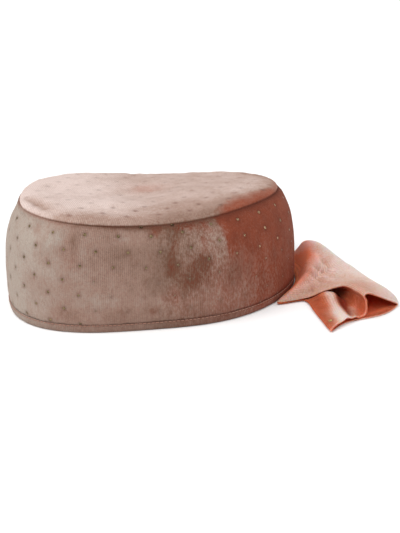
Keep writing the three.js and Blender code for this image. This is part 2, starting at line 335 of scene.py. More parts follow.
def cloth_object(name, grid, cloth, paint, wrap_rows=False, ends=None):
    """Closed mesh over a grid, with its painted fields. cloth holds each point's place on the flat cloth.

    The columns close on themselves, and so do the rows, or else each end row closes on a point of ends.
    """
    rows, columns = grid.shape[:2]
    again = (0, 1 if wrap_rows else 0)
    index = np.pad(np.arange(rows * columns).reshape(rows, columns), (again, (0, 1)), mode="wrap")
    round_cloth = np.pad(cloth, (again, (0, 1), (0, 0)), mode="wrap")
    if np.ptp(cloth[:, 0, 0]) == 0:
        round_cloth[:, -1, 0] = 2 * round_cloth[:, -2, 0] - round_cloth[:, -3, 0]
    points = grid.reshape(-1, 3).tolist()
    faces = corners(index).reshape(-1, 4).tolist()
    places = [corners(round_cloth).reshape(-1, 2)]
    fields = {key: field.reshape(-1).tolist() for key, field in paint.items()}
    if ends is not None:
        for row, point, flip in ((0, ends[0], True), (rows - 1, ends[1], False)):
            centre = len(points)
            points.append(point)
            for key, field in paint.items():
                fields[key].append(float(field[row].mean()))
            ring = index[row].tolist()
            faces += [(centre, b, a) if flip else (centre, a, b) for a, b in zip(ring, ring[1:])]
            places.append(np.repeat(cloth[row], 3, axis=0))
    obj = plain_object(name, points, faces)
    layer = obj.data.uv_layers.new(name="cloth")
    layer.data.foreach_set("uv", np.concatenate(places).astype(np.float32).reshape(-1))
    for key, values in fields.items():
        add_field(obj, key, values)
    return obj


FIELDS = ("nap", "tone", "frost", "spot")
TONE_LIMIT = 1.5
# At the seam's crease the pile is pressed down, which brushes it (nap), and painted shade darkens the groove
# (tone and spot).
SEAM_PRESS_AND_SHADE = {"nap": 0.45, "tone": 1.4, "spot": 0.7}

# Soft dents in the side band: angle round the cap in degrees, height, how far it reaches along and up,
# and depth (less than 0 is a lump)
BAND_DENTS = named_rows(("angle", "height", "along", "up", "depth"), [
    (172, 0.068, 0.02, 0.01, 0.0018),
    (191, 0.069, 0.006, 0.005, 0.0016),
    (203, 0.0655, 0.008, 0.006, 0.0011),
    (210, 0.059, 0.01, 0.008, -0.0013),
    (216, 0.06, 0.006, 0.009, 0.0011),
    (233, 0.04, 0.022, 0.014, 0.0012),
    (261, 0.042, 0.006, 0.016, 0.0014),
    (264, 0.058, 0.003, 0.009, 0.0007),
    (276, 0.041, 0.007, 0.012, 0.0009),
    (300, 0.026, 0.02, 0.012, 0.001),
])
# Patches of the side band: angle, height, reach along and up, and what each adds to tone, nap and frost.
# Many are the pile's own mottling; the pale patches on lumps are painted highlights, and the dark patches in
# dents and folds are painted shade.
BAND_MOTTLE_AND_SHADING = named_rows(("angle", "height", "along", "up", "tone", "nap", "frost"), [
    (211, 0.061, 0.007, 0.006, 0.6),
    (218.5, 0.059, 0.0038, 0.008, -0.75),
    (203.0, 0.0645, 0.003, 0.003, -0.55),
    (308.0, 0.058, 0.02, 0.01, -0.3),
    (211, 0.04, 0.006, 0.006, 0.35),
    (205, 0.03, 0.009, 0.009, -0.3),
    (219, 0.048, 0.0025, 0.006, 0.0, 0.16),
    (200, 0.051, 0.006, 0.01, 0.3),
    (217, 0.012, 0.01, 0.0055, -0.45, 0.05),
    (237, 0.012, 0.011, 0.006, -0.4, 0.08),
    (228, 0.019, 0.008, 0.006, 0.25),
    (238, 0.052, 0.01, 0.005, -0.35),
    (235, 0.021, 0.009, 0.006, 0.2),
    (244, 0.06, 0.01, 0.0035, 0.35),
    (253.7, 0.0632, 0.0032, 0.003, 0.0, 0.6),
    (251, 0.013, 0.004, 0.003, -0.3, 0.25),
    (265.6, 0.061, 0.0016, 0.003, -0.3, 0.5, 0.4),
    (263.6, 0.057, 0.0014, 0.003, -0.3, 0.5, 0.4),
    (262.0, 0.0525, 0.0014, 0.003, -0.3, 0.48, 0.4),
    (260.4, 0.047, 0.0018, 0.0035, -0.3, 0.48, 0.4),
    (261.0, 0.0405, 0.0036, 0.0055, -1.0, 0.5, 0.3),
    (260.6, 0.0215, 0.005, 0.005, 0.0, 0.35, 0.3),
    (270, 0.0635, 0.01, 0.0028, 0.0, 0.34, 0.3),
    (280.5, 0.062, 0.004, 0.0035, 0.0, 0.42, 0.4),
    (278.0, 0.056, 0.0024, 0.005, -0.15, 0.34, 0.4),
    (276.2, 0.0415, 0.006, 0.0065, -0.85, 0.26, 0.8),
    (272.0, 0.0345, 0.006, 0.006, -0.45, 0.18, 0.8),
    (269.5, 0.03, 0.0045, 0.004, -0.7, 0.25, 0.3),
    (277.0, 0.054, 0.018, 0.01, 0.3, 0.0, 0.7),
    (284.0, 0.046, 0.009, 0.012, 0.25, 0.0, 0.6),
    (279.0, 0.033, 0.01, 0.006, 0.1, 0.0, 0.6),
    (281.5, 0.0196, 0.01, 0.007, 0.45),
    (304.0, 0.016, 0.016, 0.012, 0.0, -0.1, 0.3),
    (260.0, 0.015, 0.026, 0.012, 0.42),
    (300.0, 0.043, 0.004, 0.012, -0.22),
    (309.0, 0.036, 0.006, 0.01, 0.35, 0.0, 0.25),
    (316.0, 0.046, 0.004, 0.014, -0.12),
])
# Tone of the side band round the cap: angle in degrees, tone. Besides the pile's own tone this is painted
# sheen and light, palest at the left end, where the light falls.
BAND_SHEEN_TONES = [
    (20, 0.1), (60, 0.2), (120, 0.3), (165, 0.8), (195, 1.0), (205, 0.62), (214, 0.28), (224, 0.06),
    (236, -0.10), (248, -0.30), (256, -0.68), (264, -0.72), (272, -0.55), (286, -0.42), (294, -0.22),
    (304, 0.05), (330, 0.0), (380, 0.1),
]
FIRST_ANGLE = 20
BRUSHED_FROM = 289  # the pile of the side lies down from this angle, in degrees, to BRUSHED_TO
BRUSHED_TO = 370
# Lower down it goes over in soft steps: share, from and to which angle
BRUSHED_STEPS = [(0.26, 254, 268), (0.26, 272, 290), (0.42, 290, 308)]


def seen_angle(grid):
    """Angle of every point round the cap, in degrees from FIRST_ANGLE, so that the front has no jump."""
    degrees = np.degrees(np.arctan2(grid[..., 1], grid[..., 0])) % 360
    return np.where(degrees < FIRST_ANGLE, degrees + 360, degrees)


def lump(grid, degrees, spot):
    """1 at a spot of the side band, fading to 0 past its reach along and up."""
    radius = np.linalg.norm(grid[..., :2], axis=-1)
    along = np.radians(degrees - spot["angle"]) * radius
    return np.exp(-((along / spot["along"]) ** 2) - ((grid[..., 2] - spot["height"]) / spot["up"]) ** 2)


def seam_shade_strength(degrees):
    """How strong the painted shade in the seam round the top panel is; it is weaker at the left front."""
    return 1 - 0.45 * ramp("seam_pale_from", degrees) * ramp("seam_pale_to", degrees)


def creased_and_shaded(nap, tone, frost, dots, crease):
    """The painted fields with the seam's crease, where the pile is pressed down and painted shade darkens
    the groove.
    """
    spot = np.maximum(dots, SEAM_PRESS_AND_SHADE["spot"] * crease)
    return painted(nap + SEAM_PRESS_AND_SHADE["nap"] * crease, tone - SEAM_PRESS_AND_SHADE["tone"] * crease, frost, spot)


def band_relief(grid):
    """How far the cloth of the side band stands out from its smooth form."""
    degrees = seen_angle(grid)
    below_seam = seam_height(np.radians(degrees)) - grid[..., 2]
    above_hem = grid[..., 2] - HEM_HEIGHT
    relief = noise_at(grid, "band_form")
    relief += noise_at(grid, "band_ripple")
    puckers = 0.00045 + 0.00050 * ramp("deep_puckers", degrees)
    near_seam = np.exp(-np.abs(below_seam - 0.004) / 0.007)
    relief += puckers * noise_at(grid, "band_pucker") * near_seam
    relief += noise_at(grid, "band_lumps")
    relief += noise_at(grid, "above_hem") * np.exp(-np.abs(above_hem) / 0.004)
    for spot in BAND_DENTS:
        relief -= spot["depth"] * lump(grid, degrees, spot)
    return relief * ramp("under_seam", below_seam)


def band_paint(grid, dots):
    """nap, tone, frost and spot of the side band."""
    degrees = seen_angle(grid)
    height = grid[..., 2]
    wide = noise_at(grid, "band_wide")
    streaks = noise_at(grid, "band_streaks")
    uneven = 2.2 * wide + 2.0 * streaks
    sharp = smooth_step(-1, 1, (degrees - BRUSHED_FROM - uneven) / 2.2)
    soft = 0.0
    for share, start, end in BRUSHED_STEPS:
        soft = soft + share * smooth_step(start, end, degrees - uneven)
    soft = soft * (1 + 0.20 * streaks)
    low = ramp("low_side", height + 0.006 * wide + 0.002 * streaks)
    nap = sharp + (soft - sharp) * low
    nap *= smooth_step(BRUSHED_TO + 9, BRUSHED_TO - 12, degrees + 6 * wide + 3 * streaks)
    mottled = ramp("mottled", degrees) * (degrees < BRUSHED_FROM + 3)
    nap = np.maximum(nap, 0.30 * mottled * ramp("strong_streak", streaks + 0.5 * wide))
    # Painted sheen and light: the side band is paler at its left end, where the light falls, with the pile's
    # own uneven tone on top.
    tones = np.array(BAND_SHEEN_TONES)
    tone = np.interp(degrees, tones[:, 0], tones[:, 1]) + 0.12 * wide + 0.10 * streaks
    patchy = noise_at(grid, "band_patchy")
    tone = tone + (0.35 * patchy + 0.15 * streaks) * ramp("right_side", degrees)
    tone = tone + 0.12 * patchy
    frost = 0.14 + 0.40 * ramp("frosted", degrees)
    frost = frost - 0.36 * ramp("frost_ends", degrees) * ramp("high_side", height)
    for patch in BAND_MOTTLE_AND_SHADING:
        share = lump(grid, degrees, patch) * np.maximum(1 + 0.55 * streaks + 0.75 * patchy, 0)
        nap = nap + patch["nap"] * share
        tone = tone + patch["tone"] * share
        frost = frost + patch["frost"] * share
    below = np.maximum(seam_height(np.radians(degrees)) - height, 0)
    crease = np.exp(-below / (0.0009 + 0.0006 * ramp("crease_widens", degrees))) * seam_shade_strength(degrees)
    return creased_and_shaded(nap, tone, frost, dots, crease)


def dot_strength(centre, most):
    """How whole the foil of a dot is, from 0 to 1."""
    return most * (0.85 + 0.30 * noise.noise(Vector(centre) * 400))


def dot_field(grid, places):
    """The strength of each foil dot, fading to 0 round it."""
    field = np.zeros(grid.shape[:2])
    for centre, _, strength in places:
        away = ((grid - centre) ** 2).sum(axis=-1)
        field = np.maximum(field, strength * np.exp(-away / DOT_HALO**2))
    return field


def band_ring(up, inset, inward, wall, drop):
    foot = HEM_HEIGHT + SEWN_GAP
    radius = rim_radius(ANGLES) - inset * seam_inset(ANGLES) - inward - wall
    return oval_ring(radius, foot + (seam_height(ANGLES) - foot) * up - drop)


RIM_RING = oval_ring(rim_radius(ANGLES), 0.0)


def side_dot_places(face):
    """Centre, normal and strength of each foil dot of the side band, in staggered level rows."""
    normals = grid_normals(face)
    degrees = seen_angle(face[0])
    rising = face[: BAND_TOP_ROW * BAND_STEPS]
    places = []
    right_dip = DOT_RIGHT_DIP * ramp("dots_lower", degrees) * ramp("dots_level", degrees)
    for k in range(DOT_ROWS):
        level = DOT_TOP_ROW - DOT_ROW_STEP * k - (dip_at(DOT_DIP, degrees) + right_dip)
        line, facing = [], []
        for j in range(AROUND):
            row = min(int(np.searchsorted(rising[:, j, 2], level[j])), len(rising) - 1)
            low, high = rising[row - 1, j], rising[row, j]
            share = np.clip((level[j] - low[2]) / max(high[2] - low[2], 1e-9), 0, 1)
            line.append(low + (high - low) * share)
            facing.append(normals[row, j])
        line = np.array(line)
        lengths = distances_round(line)
        along = running_total(lengths)
        count = round(along[-1] / DOT_SPACING)
        start = np.interp(math.radians(DOT_START), np.append(ANGLES, 2 * math.pi), along)
        for i in range(count):
            at = (start + (i + 0.5 * (k % 2)) * along[-1] / count) % along[-1]
            j = int(np.searchsorted(along, at, side="right")) - 1
            share = (at - along[j]) / lengths[j]
            right = (j + 1) % AROUND
            centre = line[j] + (line[right] - line[j]) * share
            around, height = degrees[j], centre[2]
            faint = ramp("dots_faint", around) * ramp("faint_height", height) * (around < 300)
            worn = ramp("dots_worn", around) * ramp("dots_whole", around)
            worn = worn * ramp("worn_height", height)
            strength = dot_strength(centre, 1.0 - 0.55 * faint - 0.45 * worn)
            places.append((centre, facing[j], strength))
    return places


def sink_dots(grid, field):
    """The pile is pressed down where the foil is."""
    return grid - grid_normals(grid) * (DOT_SINK * field)[..., None]


def make_side_band():
    outside = loft([band_ring(*row, 0.0, 0.0) for row in BAND_OUTSIDE], BAND_STEPS)
    inner_keys = [band_ring(up, inset, 0.0, BAND_WALL, drop) for up, inset, drop in BAND_INSIDE]
    inside = loft(inner_keys, BAND_INNER_STEPS)
    base = np.concatenate([outside, inside])
    shift = band_relief(base)
    shift[len(outside):] *= -1
    grid = base + grid_normals(base, wrap_rows=True) * shift[..., None]
    face = grid[: len(outside)]
    places = side_dot_places(face)
    field = dot_field(face, places)
    grid[: len(outside)] = sink_dots(face, field)
    field = np.concatenate([field, np.zeros(inside.shape[:2])])
    paint = band_paint(base, field)
    return cloth_object("side_cloth", grid, flat_cloth(grid, RIM_RING), paint, wrap_rows=True), places


def make_hem():
    keys = [oval_ring(rim_radius(ANGLES) - inward * HEM_WALL, up * HEM_HEIGHT) for inward, up in HEM_PROFILE]
    base = loft(keys, HEM_STEPS, closed=True)
    puckers = noise_at(base, "hem_pucker") + noise_at(base, "hem_form")
    puckers *= ramp("over_foot", base[..., 2])
    grid = base + grid_normals(base, wrap_rows=True) * puckers[..., None]
    grid[..., 2] = np.maximum(grid[..., 2], 0.0)
    paint = band_paint(base, np.zeros(base.shape[:2]))
    paint["nap"] = paint["nap"] * 0.9
    return cloth_object("hem_cloth", grid, flat_cloth(grid, RIM_RING), paint, wrap_rows=True)


# Soft creases of the top panel: from and to in plan, half width and depth (less than 0 stands up)
PANEL_CREASES = named_rows(("start", "end", "wide", "depth"), [
    ((-0.0845, -0.003), (-0.0795, -0.026), 0.004, 0.0024),
    ((-0.074, -0.04), (-0.042, -0.047), 0.004, 0.0006),
    ((-0.036, -0.024), (0.036, -0.01), 0.007, -0.0008),
    ((0.012, -0.036), (0.046, -0.027), 0.0018, 0.0005),
    ((0.022, -0.03), (0.05, -0.021), 0.0016, 0.0005),
    ((0.034, -0.022), (0.054, -0.012), 0.0016, 0.0004),
    ((-0.05, -0.034), (-0.02, -0.038), 0.0035, 0.0006),
    ((-0.06, 0.02), (-0.03, 0.035), 0.008, 0.0007),
    ((0.04, 0.025), (0.07, 0.01), 0.008, 0.0006),
])
# Places where the top panel stands higher or lower: middle in plan, reach and height
PANEL_RISES = named_rows(("x", "y", "reach", "height"), [
    (0.005, 0.058, 0.026, 0.0003),
    (0.064, 0.044, 0.026, -0.0017),
    (0.085, 0.016, 0.016, -0.0014),
    (-0.062, 0.048, 0.024, -0.0016),
])


def crease_shape(plan, crease):
    """1 along the middle of a crease, fading to 0 beside it and at its ends."""
    start, end = np.array(crease["start"]), np.array(crease["end"])
    run = end - start
    length = np.linalg.norm(run)
    away = plan - start
    along = away @ run / length
    beside = (away[..., 0] * run[1] - away[..., 1] * run[0]) / length
    past = np.maximum(np.maximum(-along, along - length), 0)
    return np.exp(-((beside / crease["wide"]) ** 2) - (past / (1.5 * crease["wide"])) ** 2)


def panel_edge(angle):
    return rim_radius(angle) - SHOULDER_INSET * seam_inset(angle) - BAND_WALL - SEWN_GAP


def inside_edge(grid):
    """How far each point lies inside the top panel's edge."""
    return panel_edge(np.arctan2(grid[..., 1], grid[..., 0])) - np.linalg.norm(grid[..., :2], axis=-1)


def round_shape(grid, spot):
    """1 at the middle of a round spot, fading to 0 past its reach."""
    return bell(np.hypot(grid[..., 0] - spot["x"], grid[..., 1] - spot["y"]), 0, spot["reach"])


def panel_sink(grid):
    """How far the top panel lies below its smooth form."""
    plan = grid * (1, 1, 0)
    sink = PANEL_DENT["depth"] * round_shape(grid, PANEL_DENT)
    for crease in PANEL_CREASES:
        sink += crease["depth"] * crease_shape(grid[..., :2], crease)
    for rise in PANEL_RISES:
        sink -= rise["height"] * round_shape(grid, rise)
    sink -= noise_at(plan, "panel_form")
    sink -= noise_at(plan, "panel_ripple")
    near_seam = bell(inside_edge(grid), 0.006, 0.006) * ramp("front_half", grid[..., 1])
    sink -= noise_at(plan, "panel_pucker") * near_seam
    return sink


def panel_paint(grid, dots):
    """nap, tone, frost and spot of the top panel."""
    x, y = grid[..., 0], grid[..., 1]
    degrees = seen_angle(grid)
    inward = inside_edge(grid)
    streaks = noise_at(grid, "panel_streaks")
    wide = noise_at(grid, "panel_wide")
    reach = 0.0005 + 0.0100 * ramp("edge_brushed", degrees) * (1 - 0.70 * ramp("edge_narrower", degrees))
    reach = reach * ramp("edge_back", degrees) + 0.0001
    nap = ramp("brushed_rim", inward / reach + 0.25 * streaks) * ramp("wide_rim", reach)
    smudge = np.exp(-(((x - 0.001) / 0.014) ** 2) - ((y - 0.014) / 0.010) ** 2)
    nap = np.maximum(nap, 0.36 * smudge * (1 + 0.7 * streaks))
    # Painted light and sheen: the top is pale where the light falls on it, darker to the right, away from
    # the light, and darker on the front slope, which gets less light than the top.
    front = smooth_step(PANEL_RIDGE_Y + 0.003, PANEL_RIDGE_Y - 0.020, y) * ramp("left_end", x)
    tone = 0.95 - 0.58 * ramp("right_part", x) - 0.45 * front + 0.06 * wide + 0.10 * streaks
    # Painted shade on the crown just before the seam at the left front, and in the left crease of the top
    # panel.
    tone = tone - 0.34 * ramp("near_edge", inward) * ramp("panel_shaded", degrees)
    tone = tone - 0.30 * ramp("at_edge", inward) * ramp("edge_shaded", degrees)
    tone = tone - 0.80 * crease_shape(grid[..., :2], PANEL_CREASES[0])
    above_seam = grid[..., 2] - seam_height(np.arctan2(y, x))
    crease = ramp("in_crease", above_seam) * ramp("crease_width", inward) * seam_shade_strength(degrees)
    frost = 0.10 + 0.30 * front + 0.1 * smudge
    return creased_and_shaded(nap, tone, frost, dots, crease)


def lattice():
    """Plan places of the top panel's foil dots, also of those past its edge."""
    base, along, row = (np.array(PANEL_DOTS[name]) for name in ("base", "along", "row"))
    for j in range(-LATTICE_REACH, LATTICE_REACH + 1):
        for i in range(-LATTICE_REACH, LATTICE_REACH + 1):
            yield base + (i + 0.5 * (j % 2)) * along + j * row


def nearest_place(grid, normals, plan):
    away = np.hypot(grid[..., 0] - plan[0], grid[..., 1] - plan[1])
    row, column = np.unravel_index(np.argmin(away), away.shape)
    return grid[row, column], normals[row, column]


def panel_dot_places(face):
    """Centre, normal and strength of each foil dot of the top panel, in a staggered lattice."""
    normals = grid_normals(face)
    places = []
    for plan in lattice():
        if panel_edge(math.atan2(plan[1], plan[0])) - np.hypot(*plan) > PANEL_DOTS["edge"]:
            centre, normal = nearest_place(face, normals, plan)
            clear = 0.45 + 0.50 * ramp("front_dots", centre[1])
            places.append((centre, normal, dot_strength(centre, clear)))
    return places


def make_crown():
    edge = panel_edge(ANGLES)
    seam = seam_height(ANGLES)
    lift = SEAM_HEIGHT - seam

    def roll_ring(inward, rise):
        return oval_ring(edge - inward, seam + rise)

    def inner_ring(share, rise, wall):
        return oval_ring((edge - PANEL_ROLL) * share, seam + PANEL_PUFF + (1 - share) * lift + rise - wall)

    outside_keys = [roll_ring(*row) for row in ROLL_OUTSIDE] + [inner_ring(*row, 0.0) for row in PANEL_RINGS]
    under_keys = [inner_ring(*row, PANEL_WALL) for row in reversed(PANEL_RINGS)]
    under_keys += [roll_ring(*row) for row in ROLL_UNDERSIDE]
    under = loft(under_keys, UNDER_STEPS)
    outside = loft(outside_keys, PANEL_STEPS)
    grid = np.concatenate([under, outside])
    inward = inside_edge(grid)
    grid[..., 2] -= panel_sink(grid) * ramp("inside_edge", inward)
    pucker = noise_at(grid, "roll_pucker") * np.exp(-np.abs(inward - 0.003) / 0.006)
    grid[..., 2] += pucker * ramp("over_crease", grid[..., 2] - seam)
    face = grid[len(under):]
    places = panel_dot_places(face)
    field = dot_field(face, places)
    paint = panel_paint(grid, np.concatenate([np.zeros(under.shape[:2]), field]))
    grid[len(under):] = sink_dots(face, field)
    centre = Vector((0.0, 0.0, float(grid[-1, :, 2].mean())))
    ends = (centre - Vector((0, 0, PANEL_WALL)), centre)
    return cloth_object("crown_cloth", grid, grid[..., :2], paint, ends=ends), places


# The tail
TAIL_WALL = 0.0012
TAIL_FLAT = 0.0034
FLAP_ROLL = 0.0075
FLAP_HIGH = 0.004
OVERHANG_FULL = 0.008
CLOSED_CUTS = 3
MOUTH_BOW = 0.0036
BOW_HEIGHT = 0.008
BOW_RINGS = 1.5  # cuts behind the mouth that take part in the bow
CUT_STEPS = 8
LOOP_STEPS = 10


def beside(degrees):
    angle = math.radians(degrees)
    radius = float(rim_radius(angle)) + TOUCH_GAP
    return (radius * math.cos(angle), radius * math.sin(angle))


# Cuts across the tail, from its root to its mouth: near and far edge in plan,
# shares of the width at the valley, foot, lip and crest, and heights of the lip, crest and ridge
NO_FLAP = (0.001, 0.002, 0.002)
TAIL_CUTS = named_rows(("near", "far", "valley", "foot", "lip", "crest", "lip_up", "crest_up", "ridge_up"), [
    (beside(5), (0.112, 0.015), *NO_FLAP, 0.3, 0.0046, 0.0052, 0.0055),
    (beside(-1), (0.12, 0.009), *NO_FLAP, 0.35, 0.0046, 0.006, 0.008),
    (beside(-8), (0.1275, 0.0005), *NO_FLAP, 0.25, 0.005, 0.008, 0.0192),
    (beside(-18), (0.1335, -0.014), *NO_FLAP, 0.2, 0.005, 0.0125, 0.0226),
    (beside(-29), (0.137, -0.03), *NO_FLAP, 0.12, 0.005, 0.009, 0.0176),
    (beside(-40), (0.138, -0.042), *NO_FLAP, 0.07, 0.005, 0.0068, 0.0152),
    ((0.0655, -0.0682), (0.1385, -0.0495), *NO_FLAP, 0.05, 0.005, 0.0058, 0.015),
    ((0.0844, -0.0702), (0.1388, -0.0555), 0.09, 0.11, 0.0, 0.05, 0.0052, 0.0064, 0.0138),
    ((0.0847, -0.0759), (0.1392, -0.0615), 0.32, 0.37, 0.15, 0.2, 0.008, 0.0092, 0.0128),
    ((0.0826, -0.0845), (0.1398, -0.0694), 0.4, 0.46, 0.31, 0.36, 0.0122, 0.0134, 0.0116),
    ((0.0804, -0.0945), (0.1408, -0.0785), 0.4, 0.46, 0.4, 0.45, 0.0162, 0.017, 0.0102),
    ((0.0786, -0.1043), (0.1424, -0.0872), 0.34, 0.455, 0.42, 0.46, 0.0176, 0.0184, 0.0082),
    ((0.0769, -0.1135), (0.1423, -0.0955), 0.3, 0.46, 0.43, 0.47, 0.0182, 0.019, 0.0056),
    ((0.0757, -0.1213), (0.1396, -0.1013), 0.3, 0.48, 0.45, 0.49, 0.0182, 0.0188, 0.0032),
])


def cut_keys(cut, wall):
    """Key points of one cut, from the middle of the underside round the near edge and over the top.

    Each row has the place across and up, and how many walls the hollow lies further across and up.
    """
    near = np.array(cut["near"])
    span = np.array(cut["far"]) - near
    width = np.linalg.norm(span)
    across = span / width
    valley, foot, lip, crest = (cut[name] * width for name in ("valley", "foot", "lip", "crest"))
    lip_up, crest_up, ridge_up = cut["lip_up"], cut["crest_up"], cut["ridge_up"]
    flap = min(FLAP_ROLL, 0.45 * valley)
    valley_up = min(TAIL_FLAT, 0.56 * lip_up)
    ridge = width - 0.5 * ridge_up
    open_ = min(1, valley / FLAP_ROLL)
    closed = 1.5 * (1 - open_)
    overhang = min(1, (foot - lip) / OVERHANG_FULL)
    rows = [
        (0.4 * width, 0, 0, 1),
        (0.004, 0, 0.2, 1),
        (0, 0.45 * TAIL_FLAT, 1.5, 0),
        (flap, min(FLAP_HIGH, 0.5 * lip_up), closed, -open_),
        (valley, valley_up, closed, -open_),
        (foot, valley_up + 0.0003, 1.2 * open_ + closed, -0.9 * open_),
        (foot + 0.0006 * open_, 0.68 * lip_up, 1.1 * open_ + closed, 0.9 * overhang),
        (lip, lip_up - 0.0014, 1.2 * open_ + closed, 0.8 * overhang - 0.1 * open_),
        (crest, crest_up, 0.4, -1.1),
        ((crest + ridge) / 2, (crest_up + ridge_up) / 2 + 0.0005, 0, -1),
        (ridge, ridge_up, -0.4, -1),
        (width, 0.42 * ridge_up, -1.1, 0),
        (width - 0.35 * ridge_up, 0, -0.6, 1),
    ]
    keys = [(*(near + across * (out + wall * aside)), up + wall * rise) for out, up, aside, rise in rows]
    return np.array(keys)


NEAR_KEY = 2
FAR_KEY = 11
LIP_KEY = 7


def tail_rings(wall, first_cut):
    """Rings of the tail from a cut to its mouth, outside or one wall further in at the hollow."""
    keys = loft([cut_keys(cut, wall) for cut in TAIL_CUTS], CUT_STEPS)
    last = (len(TAIL_CUTS) - 1) * CUT_STEPS
    rings = []
    for at in range(first_cut * CUT_STEPS, last + 1):
        ring_keys = keys[at]
        ring = loft(list(ring_keys), LOOP_STEPS, closed=True)
        ring[:, 2] = np.maximum(ring[:, 2], ring_keys[0, 2])
        near = ring_keys[NEAR_KEY]
        across = (ring_keys[FAR_KEY] - near) * (1, 1, 0)
        width = np.linalg.norm(across)
        across /= width
        forward = np.array([across[1], -across[0], 0])
        bow = MOUTH_BOW * max(0, 1 - (last - at) / (BOW_RINGS * CUT_STEPS))
        share = (ring - near) @ across / width
        fade = np.maximum(0, 1 - ring[:, 2] / BOW_HEIGHT)
        rings.append(ring - np.outer(bow * fade * np.sin(2 * math.pi * share), forward))
    return np.array(rings)


# Folds in the tail's upper layer: from and to in plan, half width and height (less than 0 is a furrow)
TAIL_FOLDS = named_rows(("start", "end", "wide", "height"), [
    ((0.1134, -0.033), (0.1111, -0.05), 0.0022, 0.0018),
    ((0.1111, -0.05), (0.115, -0.0585), 0.002, 0.0014),
    ((0.1162, -0.04), (0.1152, -0.052), 0.002, -0.0013),
    ((0.1085, -0.044), (0.108, -0.057), 0.0018, -0.0017),
    ((0.105, -0.044), (0.1046, -0.056), 0.0021, 0.0017),
    ((0.1046, -0.056), (0.1085, -0.064), 0.002, 0.0014),
    ((0.101, -0.05), (0.101, -0.062), 0.0018, -0.0013),
    ((0.0973, -0.053), (0.0984, -0.064), 0.002, 0.001),
    ((0.094, -0.056), (0.0925, -0.066), 0.002, -0.0008),
    ((0.106, -0.022), (0.0985, -0.04), 0.0036, -0.001),
])
# The far ridge lies lower along this line, and the near edge beside the flap lies flatter
RIDGE_SINK = {"start": (0.1340, -0.020), "end": (0.1395, -0.062), "depth": 0.0016, "wide": 0.010}
NEAR_SINK = {"share": 0.45, "reach": 0.018}
TAIL_FROST = 0.08
# Painted highlight and shade of the tail's folds: a fold is paler for each metre that it stands up, and a
# furrow darker.
FOLD_SHADING = 260.0  # how much paler a fold is for each metre that it stands up
# Long ripples of the flap in front of the lip, which run from its root to the mouth
FLAP_FOLDS = named_rows(("start", "end", "wide", "height"), [
    ((0.096, -0.0725), (0.1005, -0.083), 0.0052, 0.0042),
    ((0.099, -0.084), (0.091, -0.12), 0.0032, 0.0016),
    ((0.105, -0.082), (0.0985, -0.108), 0.0024, -0.001),
    ((0.104, -0.094), (0.099, -0.114), 0.002, 0.001),
])
# Stripes on the flap and on the tail's top: from and to in plan, half width, tone and nap. On the flap the
# pale stripes are painted highlights along its ripples and the dark stripes are painted shade in its
# hollows; the nap brushes the pile down or lifts it.
FLAP_NAP_AND_SHADING_STRIPES = named_rows(("start", "end", "wide", "tone", "nap"), [
    ((0.0985, -0.08), (0.09, -0.121), 0.0034, 0.5, -1.1),
    ((0.0885, -0.08), (0.0815, -0.112), 0.0048, -0.45),
    ((0.105, -0.078), (0.099, -0.106), 0.0042, -1.4, 0.3),
    ((0.1035, -0.1), (0.0965, -0.116), 0.003, 0.5, -0.85),
    ((0.091, -0.106), (0.087, -0.122), 0.0066, 0.75, -1.05),
])
TOP_STRIPES = named_rows(("start", "end", "wide", "tone", "nap"), [
    ((0.1095, -0.01), (0.1105, -0.026), 0.006, 0.3, 0.4),
])


def tail_relief(grid, key):
    """How far the tail's cloth stands up from its smooth form. key says how far round the cut a point is."""
    plan = grid * (1, 1, 0)
    upper = smooth_step(LIP_KEY, LIP_KEY + 1, key) * smooth_step(FAR_KEY, FAR_KEY - 1, key)
    flap = smooth_step(NEAR_KEY + 0.4, NEAR_KEY + 1, key) * smooth_step(LIP_KEY - 1.2, LIP_KEY - 2, key)
    flap = flap * ramp("flap_starts", grid[..., 1])
    relief = noise_at(plan, "tail_form") * upper
    relief += noise_at(plan, "tail_ripple") * (upper + flap)
    for fold in TAIL_FOLDS:
        relief += fold["height"] * crease_shape(grid[..., :2], fold) * upper
    for fold in FLAP_FOLDS:
        relief += fold["height"] * crease_shape(grid[..., :2], fold) * flap
    return relief - RIDGE_SINK["depth"] * crease_shape(grid[..., :2], RIDGE_SINK) * upper


def press_near_edge(grid):
    """The cloth is thin at the near edge, on the cap's side of the flap."""
    near = grid[:, NEAR_KEY * LOOP_STEPS, None, :2]
    beside_edge = smooth_step(NEAR_SINK["reach"], 0.003, np.linalg.norm(grid[..., :2] - near, axis=-1))
    grid[..., 2] *= 1 - NEAR_SINK["share"] * beside_edge * ramp("before_flap", grid[..., 1])


